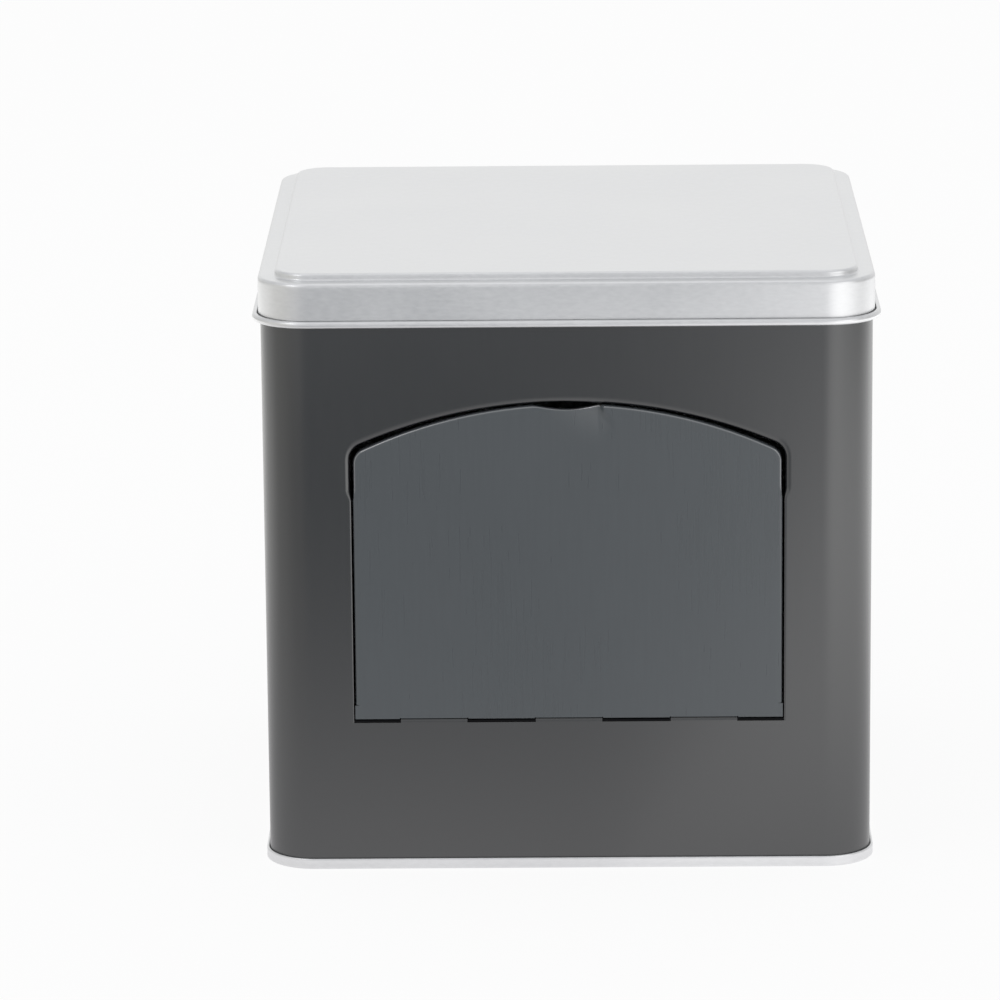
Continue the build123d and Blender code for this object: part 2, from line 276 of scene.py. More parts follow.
class DoorSizes(bpy.types.PropertyGroup):
    """Sizes of the tip-out door."""

    rim_gap: length("Rim gap", "Gap beside the arched part", 1.05)
    fold_gap: length("Fold gap", "Gap beside the folded cheeks", 0.8)
    foot_gap: length("Foot gap", "Gap beside the foot", 0.6)
    crown_gap: length("Crown gap", "Gap at the crown", 0.6)
    arch_radius: length("Arch radius", "Radius of the door's top", 143.0)
    corner_radius: length("Corner radius", "Radius at the ends of the arch", 4.5)
    rim_bend: length("Rim bend", "Radius of the turned-in rim", 0.8)
    rim_depth: length("Rim depth", "How far the rim reaches inside", 2.5)
    fold_bend: length("Fold bend", "Radius of the cheek's fold", 0.8)
    fold_rise: length("Fold rise", "Fold's lower end above the hinge", 5.3)
    fold_relief: length("Fold relief", "Notch below the fold", 0.15)
    dish_width: length("Dish width", "Width of the finger dish", 21.0)
    dish_depth: length("Dish depth", "Depth of the finger dish", 2.1)
    dish_reach: length("Dish reach", "How far down the finger dish goes", 12.0)
    dish_margin: length("Dish margin", "Room round the dish for its soft end", 4.0)
    dish_drop: length("Dish drop", "How far its edge is cut down", 1.2)
    notch_bend: length("Notch bend", "Rounding of the edge over the dish", 0.45)
    cheek_margin: length("Cheek margin", "Cheek's top below the lip's end", 1.0)
    cheek_heel: length("Cheek heel", "Lower end of the cheek's rear edge", 8.0)
    cheek_corner: length("Cheek corner", "Radius of the cheek's rear corner", 4.0)
    stop_clearance: length("Stop clearance", "Gap between stop lip and wall, door open", 0.25)
    stop_width: length("Stop width", "How far the stop lip stands out", 3.0)
    stop_length: length("Stop length", "Length of the stop lip", 26.0)
    opening_angle: angle("Opening angle", "How far the door tips out", 50.0)


class Finishes(bpy.types.PropertyGroup):
    """Colours and gloss of the finishes."""

    wall_lacquer: colour("Wall lacquer", "Baked lacquer on the wall", (0.0078, 0.0092, 0.0104))
    wall_gloss: share("Wall gloss", "Refractive index of the wall's lacquer", 2.0, 3.0)
    wall_roughness: share("Wall roughness", "Spread of the wall's gloss", 0.23)
    door_lacquer: colour("Door lacquer", "Baked lacquer on the door", (0.0880, 0.0990, 0.1070))
    door_gloss: share("Door gloss", "Refractive index of the door's lacquer", 1.6, 3.0)
    door_roughness: share("Door roughness", "Spread of the door's gloss", 0.28)
    # Edge gloss and roughness belong to the glossier copy of the lacquer that paints highlight lines on
    # bends
    edge_gloss: share("Edge gloss", "Refractive index of the lacquer drawn over edges", 2.6, 3.0)
    edge_roughness: share("Edge roughness", "Spread of the gloss on those edges", 0.24)
    tinplate: colour("Tinplate", "Bare tinplate", (0.80, 0.805, 0.81))
    tinplate_roughness: share("Tinplate roughness", "Spread of the tinplate's gloss", 0.36)
    # The wire's near-black colour is painted shade, so that the hinge's slots read dark
    wire: colour("Wire", "Blackened steel wire", (0.012, 0.012, 0.013))
    wire_roughness: share("Wire roughness", "Spread of the wire's gloss", 0.45)


class StageSettings(bpy.types.PropertyGroup):
    """Camera, lamps and floor."""

    camera_place: bpy.props.FloatVectorProperty(
        name="Camera place", description="Where the camera stands", subtype="TRANSLATION",
        default=(-0.0013, -1.7300, 0.5167))
    camera_pitch: angle("Camera pitch", "How far the camera looks down", 13.833)
    camera_turn: angle("Camera turn", "How far the camera looks to the left", 0.6486)
    camera_roll: angle("Camera roll", "How far the camera is tilted", 0.5323)
    camera_lens: bpy.props.FloatProperty(name="Lens", description="Focal length in mm", default=207.06)
    floor_colour: colour("Floor colour", "Pale floor", (0.80, 0.80, 0.80))


def settings(*names):
    """The scene's groups of settings with these names."""
    return [getattr(bpy.context.scene, name) for name in names]


# Points and strips

def arc(centre, radius, start, sweep, steps):
    """Points on an arc from a start angle through a sweep, both in degrees."""
    points = []
    for index in range(steps + 1):
        turn = math.radians(start + sweep * index / steps)
        points.append((centre[0] + radius * math.cos(turn), centre[1] + radius * math.sin(turn)))
    return points


def between(first, last, steps):
    """Numbers from first to last in even steps."""
    return [first + (last - first) * index / steps for index in range(steps + 1)]


def mesh_from(bm, name):
    """Make a mesh of a bmesh and free it."""
    mesh = bpy.data.meshes.new(name)
    bm.to_mesh(mesh)
    bm.free()
    return mesh


def mirrored(points):
    """The points across the middle plane, in reverse order."""
    return [(-point[0], *point[1:]) for point in reversed(points)]


class Sheet:
    """Mesh of a folded sheet's outer face: strips and flat fills that share their borders."""

    def __init__(self, mesh=None):
        self.bm = bmesh.new()
        if mesh is not None:
            self.bm.from_mesh(mesh)

    def strip(self, rows):
        """Faces between rows of points, all rows of the same length."""
        made = [[self.bm.verts.new(point) for point in row] for row in rows]
        for first, second in zip(made, made[1:]):
            for index in range(len(first) - 1):
                corners = (first[index], first[index + 1], second[index + 1], second[index])
                self.bm.faces.new(corners)

    def edges_of(self, loop):
        """Edges once round a closed loop of points."""
        corners = [self.bm.verts.new(point) for point in loop]
        return [self.bm.edges.new((corners[index - 1], corners[index])) for index in range(len(corners))]

    def fill(self, edges):
        """Flat fill between closed rings of edges."""
        bmesh.ops.triangle_fill(self.bm, use_beauty=True, edges=edges)

    def open_window(self, inside):
        """Take away the faces whose centre is inside, and return the edges round the gap."""
        faces = [face for face in self.bm.faces if inside(face.calc_center_median())]
        if not faces:
            raise RuntimeError("the window finds no face of the wall")
        gone = set(faces)
        border = {edge for face in faces for edge in face.edges if not gone.issuperset(edge.link_faces)}
        bmesh.ops.delete(self.bm, geom=faces, context="FACES")
        return list(border)

    def border_at(self, height):
        """Open edges that lie at one height."""
        level = []
        for edge in self.bm.edges:
            if edge.is_boundary and all(abs(vert.co.z - height) < WELD for vert in edge.verts):
                level.append(edge)
        return level

    def finish(self, name, outside):
        """Weld the strips, point the faces outwards at a known place and make the mesh."""
        bmesh.ops.remove_doubles(self.bm, verts=self.bm.verts, dist=WELD)
        bmesh.ops.recalc_face_normals(self.bm, faces=self.bm.faces)
        place, direction = outside
        place = Vector(place)
        nearest = min(self.bm.faces, key=lambda face: (face.calc_center_median() - place).length)
        if nearest.normal.dot(Vector(direction)) < 0:
            bmesh.ops.reverse_faces(self.bm, faces=self.bm.faces)
        return mesh_from(self.bm, name)


class Arch:
    """Arched outline: straight sides, rounded corners and a wide arc over the top."""

    def __init__(self, half, crown, radius, corner):
        self.half = half
        self.crown = crown
        self.radius = radius
        self.corner = corner
        self.centre_height = crown - radius
        self.corner_x = half - corner
        rise = math.sqrt((radius - corner) ** 2 - self.corner_x ** 2)
        self.corner_height = self.centre_height + rise
        self.corner_angle = math.atan2(rise, self.corner_x)

    def stations(self, low, side_steps, corner_steps):
        """Places up the right side and round its corner."""
        places = [("side", height) for height in between(low, self.corner_height, side_steps)]
        places += [("corner", turn) for turn in between(0.0, self.corner_angle, corner_steps)[1:]]
        return places

    def point(self, place, offset):
        """The (x, z) of a place on the outline grown by an offset."""
        kind, value = place
        if kind == "side":
            return (self.half + offset, value)
        if kind == "corner":
            reach = self.corner + offset
            rise = reach * math.sin(value)
            return (self.corner_x + reach * math.cos(value), self.corner_height + rise)
        reach = self.radius + offset
        return (reach * math.cos(value), self.centre_height + reach * math.sin(value))


def smooth(value):
    """Ease a number between nothing and one."""
    value = max(0.0, min(1.0, value))
    return value * value * (3 - 2 * value)


def faded(arch, place, outward, front, depth, end, run_out, least, shallow, inset):
    """Point of a turned-in edge, which below its end goes on narrower, shallower and further in.

    least and shallow are the shares of its width and of its depth that are left there.
    """
    kind, height = place
    rise = smooth((height - end) / run_out + 0.5) if kind == "side" else 1.0
    x, z = arch.point(place, outward * (least + (1 - least) * rise) - inset * (1 - rise))
    return (x, front + depth * (shallow + (1 - shallow) * rise), z)


# Making and dressing objects

def sized_input(modifier, name, value):
    """Set a geometry nodes input by its name."""
    for item in modifier.node_group.interface.items_tree:
        if item.item_type == "SOCKET" and item.in_out == "INPUT" and item.name == name:
            modifier[item.identifier] = value
            return
    raise RuntimeError(f"the node tree has no input named {name}")


class Tree:
    """Short calls that add nodes to a node tree and feed their inputs."""

    def __init__(self, tree):
        self.tree = tree

    def feed(self, socket, value):
        """Give a socket a link or a plain value."""
        if isinstance(value, bpy.types.NodeSocket):
            self.tree.links.new(value, socket)
        else:
            socket.default_value = value

    def add(self, kind, inputs=None, **settings):
        """Add a node, set it up and feed its inputs."""
        node = self.tree.nodes.new(kind)
        for name, value in settings.items():
            setattr(node, name, value)
        for key, value in (inputs or {}).items():
            self.feed(node.inputs[key], value)
        return node

    def math(self, operation, *values):
        """Result of a math node."""
        node = self.add("ShaderNodeMath", dict(enumerate(values)), operation=operation)
        return node.outputs["Value"]

    def remap(self, source, low, high, first=0.3, last=0.7):
        """Turn a value between first and last into a range."""
        node = self.add("ShaderNodeMapRange", {
            "From Min": first, "From Max": last, "To Min": low, "To Max": high, "Value": source})
        return node.outputs["Result"]

    def blend(self, factor, first, second):
        """Mix of two colours."""
        node = self.add("ShaderNodeMix", {"Factor": factor, "A": first, "B": second}, data_type="RGBA")
        return node.outputs["Result"]


def sheet_round_tin_tree():
    """Geometry nodes that carry a profile of edges once round a rounded rectangle."""
    group = bpy.data.node_groups.new("sheet round the tin", "GeometryNodeTree")
    sockets = (
        ("Profile", "Geometry"), ("Width", "Float"), ("Depth", "Float"), ("Corner Radius", "Float"),
        ("Station Spacing", "Float"), ("Corner Steps", "Int"), ("Finish", "Material"))
    for name, kind in sockets:
        group.interface.new_socket(name, in_out="INPUT", socket_type="NodeSocket" + kind)
    group.interface.new_socket("Sheet", in_out="OUTPUT", socket_type="NodeSocketGeometry")
    tree = Tree(group)
    given = tree.add("NodeGroupInput").outputs
    outline = tree.add("GeometryNodeCurvePrimitiveQuadrilateral", {
        "Width": given["Width"], "Height": given["Depth"]})
    corners = tree.add("GeometryNodeFilletCurve", {
        "Curve": outline.outputs["Curve"], "Count": given["Corner Steps"],
        "Radius": given["Corner Radius"]}, mode="POLY")
    stations = tree.add("GeometryNodeResampleCurve", {
        "Curve": corners.outputs["Curve"], "Length": given["Station Spacing"]}, mode="LENGTH")
    upright = tree.add("GeometryNodeSetCurveNormal", {"Curve": stations.outputs["Curve"]}, mode="Z_UP")
    profile = tree.add("GeometryNodeMeshToCurve", {"Mesh": given["Profile"]})
    swept = tree.add("GeometryNodeCurveToMesh", {
        "Curve": upright.outputs["Curve"], "Profile Curve": profile.outputs["Curve"]})
    realized = tree.add("GeometryNodeRealizeInstances", {"Geometry": swept.outputs["Mesh"]})
    finish = tree.add("GeometryNodeSetMaterial", {
        "Geometry": realized.outputs["Geometry"], "Material": given["Finish"]})
    tree.add("NodeGroupOutput", {"Sheet": finish.outputs["Geometry"]})
    return group


def round_the_tin(profile, finish):
    """Sheet that follows the tin's outline; the profile holds (outward, height) points."""
    tin = bpy.context.scene.tin_sizes
    tree = bpy.data.node_groups.get("sheet round the tin") or sheet_round_tin_tree()
    mesh = bpy.data.meshes.new("profile")
    points = [(outward, -height, 0.0) for outward, height in profile]
    mesh.from_pydata(points, [(index, index + 1) for index in range(len(points) - 1)], [])
    carrier = bpy.data.objects.new("profile", mesh)
    bpy.context.scene.collection.objects.link(carrier)
    modifier = carrier.modifiers.new("round the tin", "NODES")
    modifier.node_group = tree
    inputs = {
        "Width": tin.width, "Depth": tin.depth, "Corner Radius": tin.corner_radius,
        "Station Spacing": tin.station_spacing, "Corner Steps": 24, "Finish": finish}
    for name, value in inputs.items():
        sized_input(modifier, name, value)
    depsgraph = bpy.context.evaluated_depsgraph_get()
    made = bpy.data.meshes.new_from_object(carrier.evaluated_get(depsgraph))
    bpy.data.objects.remove(carrier)
    bpy.data.meshes.remove(mesh)
    return Sheet(made)


def thicken(mesh, name, materials):
    """Give a sheet's outer face its thickness; the first finish is outside, the second inside."""
    tin = bpy.context.scene.tin_sizes
    piece = bpy.data.objects.new(name, mesh)
    bpy.context.scene.collection.objects.link(piece)
    mesh.materials.clear()
    for material in materials:
        mesh.materials.append(material)
    solid = piece.modifiers.new("thickness", "SOLIDIFY")
    solid.thickness = tin.sheet
    solid.offset = -1.0
    solid.use_even_offset = True
    solid.material_offset = len(materials) - 1
    solid.material_offset_rim = len(materials) - 1
    depsgraph = bpy.context.evaluated_depsgraph_get()
    thick = bpy.data.meshes.new_from_object(piece.evaluated_get(depsgraph))
    piece.modifiers.clear()
    piece.data = thick
    bpy.data.meshes.remove(mesh)
    thick.name = name
    return piece


def join_into(piece, extra, material_index):
    """Add another mesh to a piece as one of its parts."""
    bm = bmesh.new()
    bm.from_mesh(piece.data)
    known = len(bm.faces)
    bm.from_mesh(extra)
    bm.faces.ensure_lookup_table()
    for face in bm.faces[known:]:
        face.material_index = material_index
    bm.to_mesh(piece.data)
    bm.free()
    bpy.data.meshes.remove(extra)


def dress(piece, body, node):
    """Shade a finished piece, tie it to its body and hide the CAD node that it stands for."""
    piece.data.shade_smooth()
    piece.data.set_sharp_from_angle(angle=SHARP_TURN)
    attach(piece, body)
    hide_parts(node)


# Finishes

def grain_group():
    """Shader group: fine grain, stretched along one direction, and broad unevenness of the sheet."""
    group = bpy.data.node_groups.new("rolled grain", "ShaderNodeTree")
    for name in ("Fineness", "Stretch", "Broad"):
        made = group.interface.new_socket(name, in_out="INPUT", socket_type="NodeSocketFloat")
        made.default_value = 1.0
    for name in ("Grain", "Cloud"):
        group.interface.new_socket(name, in_out="OUTPUT", socket_type="NodeSocketFloat")
    tree = Tree(group)
    given = tree.add("NodeGroupInput").outputs
    place = tree.add("ShaderNodeTexCoord").outputs["Object"]
    squeeze = tree.add("ShaderNodeCombineXYZ", {"X": 1.0, "Y": 1.0, "Z": given["Stretch"]})
    stretched = tree.add("ShaderNodeVectorMath", {
        0: place, 1: squeeze.outputs["Vector"]}, operation="MULTIPLY")
    grain = tree.add("ShaderNodeTexNoise", {
        "Vector": stretched.outputs["Vector"], "Scale": given["Fineness"], "Detail": 2.0})
    cloud = tree.add("ShaderNodeTexNoise", {"Vector": place, "Scale": given["Broad"], "Detail": 2.0})
    tree.add("NodeGroupOutput", {"Grain": grain.outputs["Fac"], "Cloud": cloud.outputs["Fac"]})
    return group


def grained_material(name, base, surface_values, tint, roughness, spread, grain, bump):
    """Material whose gloss, tint and surface follow a grain of (fineness, stretch, broad)."""
    material = bpy.data.materials.get(name)
    if material:
        return material
    material = bpy.data.materials.new(name)
    material.use_nodes = True
    tree = Tree(material.node_tree)
    surface = material.node_tree.nodes["Principled BSDF"].inputs
    for key, value in surface_values.items():
        surface[key].default_value = value
    made = bpy.data.node_groups.get("rolled grain") or grain_group()
    inputs = dict(zip(("Fineness", "Stretch", "Broad"), grain))
    group = tree.add("ShaderNodeGroup", inputs, node_tree=made)
    half_cloud = tree.math("MULTIPLY", group.outputs["Cloud"], 0.5)
    mixed = tree.math("MULTIPLY_ADD", group.outputs["Grain"], 0.5, half_cloud)
    darker = [min(1.0, channel * (1.0 - tint)) for channel in base]
    lighter = [min(1.0, channel * (1.0 + tint)) for channel in base]
    shade = tree.blend(tree.remap(mixed, 0.0, 1.0), (*darker, 1.0), (*lighter, 1.0))
    tree.feed(surface["Base Color"], shade)
    tree.feed(surface["Roughness"], tree.remap(mixed, roughness - spread, roughness + spread))
    strength, distance = bump
    relief = tree.add("ShaderNodeBump", {
        "Strength": strength, "Distance": distance, "Height": group.outputs["Grain"]})
    tree.feed(surface["Normal"], relief.outputs["Normal"])
    return material


def lacquer(name, base, gloss, roughness):
    """Baked satin lacquer over upright rolled grain."""
    return grained_material(
        name, base, {"IOR": gloss}, tint=0.045, roughness=roughness, spread=0.02,
        grain=(900.0, 0.06, 16.0), bump=(0.05, 0.001 * MM))


def sheet_finishes(part):
    """Finishes of a lacquered sheet, the wall or the door: outside, inside, and a glossier copy of the
    outside lacquer that paints highlight lines on bends.
    """
    finishes = bpy.context.scene.finishes
    base = getattr(finishes, part + "_lacquer")
    gloss = getattr(finishes, part + "_gloss")
    roughness = getattr(finishes, part + "_roughness")
    outside = lacquer(part + " lacquer", base, gloss, roughness)
    edge = lacquer(f"polished {part} edge", base, finishes.edge_gloss, finishes.edge_roughness)
    return outside, tinplate(), edge


def tinplate():
    """Bare tinplate with its level rolled grain."""
    finishes = bpy.context.scene.finishes
    return grained_material(
        "bare tinplate", finishes.tinplate, {"Metallic": 1.0}, tint=0.05,
        roughness=finishes.tinplate_roughness, spread=0.06,
        grain=(420.0, 2.6, 26.0), bump=(0.1, 0.004 * MM))


def shade_dark_wire():
    """Drawn steel wire, painted near black as shade, so that the slots of the hinge read dark."""
    finishes = bpy.context.scene.finishes
    return grained_material(
        "drawn steel wire", finishes.wire, {"Metallic": 1.0}, tint=0.06,
        roughness=finishes.wire_roughness, spread=0.08,
        grain=(700.0, 6.0, 40.0), bump=(0.3, 0.01 * MM))


# Outlines that more than one piece needs

def opening_outline():
    """The opening in the wall."""
    sizes, hinge = settings("opening_sizes", "hinge_sizes")
    return Arch(sizes.width / 2, hinge.height + sizes.rise, sizes.arch_radius, sizes.corner_radius)


def door_outline():
    """The door's own outline."""
    opening = opening_outline()
    door = bpy.context.scene.door_sizes
    half = opening.half - door.rim_gap
    return Arch(half, opening.crown - door.crown_gap, door.arch_radius, door.corner_radius)


def hinge_axis():
    """The wire's centre as (y, z)."""
    tin, hinge = settings("tin_sizes", "hinge_sizes")
    return (-tin.depth / 2 + hinge.wire / 2 + hinge.play + tin.sheet, hinge.height)


def foot_half():
    """Half the width of the door's foot."""
    opening, door = settings("opening_sizes", "door_sizes")
    return opening.width / 2 - door.foot_gap


def curl_spans(first):
    """Where the inner curls start and end: first 0 gives the wall's, 1 the door's."""
    hinge = bpy.context.scene.hinge_sizes
    inner = foot_half() - hinge.end_width
    width = 2 * inner / hinge.spaces
    spans = []
    for index in range(first, hinge.spaces, 2):
        start = -inner + index * width
        spans.append((start + hinge.side_play / 2, start + width - hinge.side_play / 2))
    return spans


def span_rows(profile, span):
    """Rows across a span for a profile of (y, z) points."""
    return [[(span[0], y, z), (span[1], y, z)] for y, z in profile]


# Pieces

class CANISTER_OT_lid(bpy.types.Operator):
    """Build the lift-off lid: raised panel, ledge, shoulder, skirt and rolled edge"""

    bl_idname = "canister.lid"
    bl_label = "Lid"

    def execute(self, context):
        tin, lid = settings("tin_sizes", "lid_sizes")
        low = tin.height - lid.depth
        skirt = lid.skirt_gap + tin.sheet
        ledge_top = tin.height - lid.panel_rise
        curl_centre = (lid.skirt_gap + lid.curl_radius, low + lid.curl_radius)
        shoulder_centre = (skirt - lid.shoulder_radius, ledge_top - lid.shoulder_radius)
        foot_radius = lid.step_radius - tin.sheet
        ledge_end = shoulder_centre[0] - lid.ledge_width
        step_x = ledge_end - foot_radius
        top_centre = (step_x - lid.step_radius, tin.height - lid.step_radius)
        wrap = math.degrees(lid.curl_wrap)
        profile = arc(curl_centre, lid.curl_radius - tin.sheet, 180 + wrap, -wrap, steps=30)
        profile += [(skirt, curl_centre[1] + SUPPORT), (skirt, shoulder_centre[1] - SUPPORT)]
        profile += arc(shoulder_centre, lid.shoulder_radius, 0, 90, steps=10)
        profile.append((ledge_end, ledge_top))
        profile += arc((ledge_end, ledge_top + foot_radius), foot_radius, 270, -90, steps=6)[1:]
        profile += arc(top_centre, lid.step_radius, 0, 90, steps=8)
        profile.append((top_centre[0] - SUPPORT, tin.height))
        finish = tinplate()
        sheet = round_the_tin(profile, finish)
        sheet.fill(sheet.border_at(tin.height))
        mesh = sheet.finish("lid", ((0, 0, tin.height), (0, 0, 1)))
        dress(thicken(mesh, "lid_shell", [finish]), "lid", "lid")
        return {"FINISHED"}


class CANISTER_OT_base(bpy.types.Operator):
    """Build the bottom: floor, chuck wall and the seam ring rolled round the wall's hook"""

    bl_idname = "canister.base"
    bl_label = "Bottom and seam ring"

    def execute(self, context):
        tin, seam = settings("tin_sizes", "seam_sizes")
        roll = (tin.sheet + 2 * seam.play) / 2 + tin.sheet
        roll_centre = (seam.play + roll, seam.height - roll)
        outer = seam.play + 2 * roll
        inner = -2 * tin.sheet - seam.play
        foot = seam.foot_radius
        bend_centre = (inner - seam.floor_bend, seam.floor_height - seam.floor_bend)
        waist_height = (roll_centre[1] + foot) / 2
        profile = [(seam.play, seam.cover_hook_end)]
        profile += arc(roll_centre, roll, 180, -180, steps=16)
        for place in between(-1.0, 1.0, steps=8)[1:-1]:
            height = waist_height - place * (roll_centre[1] - foot) / 2
            profile.append((outer - seam.waist * (1 + math.cos(math.pi * place)) / 2, height))
        profile += arc((outer - foot, foot), foot, 0, -90, steps=8)
        profile += arc((inner + foot, foot), foot, 270, -90, steps=8)
        profile += arc(bend_centre, seam.floor_bend, 0, 90, steps=8)
        profile.append((bend_centre[0] - SUPPORT, seam.floor_height))
        finish = tinplate()
        sheet = round_the_tin(profile, finish)
        sheet.fill(sheet.border_at(seam.floor_height))
        mesh = sheet.finish("base", ((0, 0, seam.floor_height), (0, 0, -1)))
        dress(thicken(mesh, "base_shell", [finish]), "tin", "base_pan")
        return {"FINISHED"}


class CANISTER_OT_wall(bpy.types.Operator):
    """Build the wall: hooked foot, hemmed top, arched opening with its lip, hinge curls and lock seam"""

    bl_idname = "canister.wall"
    bl_label = "Wall"

    def execute(self, context):
        tin, seam, wall = settings("tin_sizes", "seam_sizes", "wall_sizes")
        opening, hinge = settings("opening_sizes", "hinge_sizes")
        front = -tin.depth / 2
        arch = opening_outline()
        lip_end = hinge.height + opening.lip_end_rise
        window_low = hinge.height - WINDOW_DROP
        window_high = arch.crown + opening.lip_bend + WINDOW_MARGIN
        window_half = arch.half + opening.lip_bend + WINDOW_MARGIN

        # the sheet round the tin
        hook = (tin.sheet + 2 * seam.play) / 2
        hook_centre = (hook, 2 * tin.sheet + seam.play + hook)
        hem = wall.hem_opening / 2 + tin.sheet
        hem_centre = (-hem, wall.top - hem)
        seam_low = seam.height + wall.seam_margin
        seam_high = hem_centre[1] - wall.hem_length - wall.seam_margin
        profile = [(2 * hook, seam.wall_hook)]
        profile += arc(hook_centre, hook, 0, -180, steps=10)
        profile += [(0, seam_low - SUPPORT), (0, window_low), (0, window_high), (0, seam_high + SUPPORT)]
        profile += [(0, hem_centre[1] - SUPPORT)]
        profile += arc(hem_centre, hem, 0, 180, steps=10)
        profile += [(-2 * hem, hem_centre[1] - wall.hem_length)]
        outside, inside, highlight_lacquer = sheet_finishes("wall")
        sheet = round_the_tin(profile, outside)

        def in_front(point):
            level = window_low < point.z < window_high
            return level and point.y < front + SUPPORT and abs(point.x) < window_half

        # the front, filled again round the opening
        border = sheet.open_window(in_front)
        support = opening.lip_bend + SUPPORT
        foot = hinge.height - hinge.wall_drop
        straight = between(foot, lip_end - opening.run_out, steps=4)[:-1]
        places = [("side", height) for height in straight]
        places += arch.stations(lip_end - opening.run_out, side_steps=30, corner_steps=12)
        crown = between(arch.corner_angle, math.pi - arch.corner_angle, steps=72)
        bend = opening.lip_bend
        turned = [(support, 0.0), (bend, 0.0)] + arc((bend, bend), bend, 270, -90, steps=8)[1:]
        turned.append((0.0, opening.lip_depth))
        rows = []
        for outward, depth in turned:
            right = []
            for place in places:
                wider = outward
                if place[0] == "corner":
                    wider *= 1 + (opening.crown_stretch - 1) * smooth(place[1] / arch.corner_angle)
                right.append(faded(arch, place, wider, front, depth, lip_end, opening.run_out,
                                   opening.edge_share, opening.edge_depth_share, opening.edge_inset))
            wider = outward * opening.crown_stretch
            top = [arch.point(("crown", turn), wider) for turn in crown[1:-1]]
            rows.append(right + [(x, front + depth, z) for x, z in top] + mirrored(right))
        sheet.strip(rows)
        loop = rows[0][:]
        for start, end in curl_spans(0):
            loop += [(start, front, foot), (end, front, foot)]
        sheet.fill(border + sheet.edges_of(loop))

        # the curls round the wire
        axis = hinge_axis()
        outer = hinge.wire / 2 + hinge.play + tin.sheet
        wrap = math.degrees(hinge.wrap) + 90
        curl = [(front, foot)] + arc(axis, outer, 180, -wrap, steps=40)
        for span in curl_spans(0):
            sheet.strip(span_rows(curl, span))

        # the line of the lock seam down the back
        def at_back(point):
            level = seam_low < point.z < seam_high
            return level and point.y > -front - SUPPORT and abs(point.x) < wall.seam_width

        border = sheet.open_window(at_back)
        groove_high = wall.seam_width / 2
        groove_low = groove_high - tin.sheet
        rings = []
        for grow, sink in GROOVE_RINGS:
            reach = grow * MM
            depth = -front - sink * wall.seam_groove
            left, right = groove_low - reach, groove_high + reach
            low, high = seam_low - reach, seam_high + reach
            corners = ((left, low), (right, low), (right, high), (left, high))
            rings.append([(x, depth, z) for x, z in corners])
        sheet.fill(border + sheet.edges_of(rings[0]))
        sheet.strip([ring + ring[:1] for ring in rings])
        sheet.fill(sheet.edges_of(rings[-1]))

        mesh = sheet.finish("wall", ((0, front, window_high + SUPPORT), (0, -1, 0)))
        piece = thicken(mesh, "wall_shell", [outside, inside])
        piece.data.materials.append(highlight_lacquer)

        # painted highlight line: the glossier lacquer on the edge's faces beside the door, below the
        # lip, picked by which way they face
        lip_low = lip_end - opening.run_out / 2
        for face in piece.data.polygons:
            x, y, z = face.center
            beside = abs(abs(x) - arch.half - bend / 3) < bend and y < front + MM
            if beside and foot < z < lip_low and WALL_BEND[0] < face.normal.y < WALL_BEND[1]:
                face.material_index = HIGHLIGHT_LACQUER

        join_into(piece, self.seam_ridge(tin, wall, seam_low, seam_high), INSIDE)
        dress(piece, "tin", "body_wall")
        return {"FINISHED"}

    def seam_ridge(self, tin, wall, low, high):
        """Folded layers of the lock seam that stand out inside."""
        back = tin.depth / 2
        inner = back - tin.sheet - wall.seam_layers * tin.sheet
        outer = back - tin.sheet / 2
        rounding = 0.25 * MM
        bm = bmesh.new()
        size = (wall.seam_width, outer - inner, high - low)
        centre = (0, (outer + inner) / 2, (low + high) / 2)
        place = Matrix.Translation(centre) @ Matrix.Diagonal((*size, 1))
        bmesh.ops.create_cube(bm, size=1.0, matrix=place)
        bmesh.ops.bevel(bm, geom=bm.edges, offset=rounding, segments=3, affect="EDGES", profile=0.5)
        return mesh_from(bm, "seam ridge")


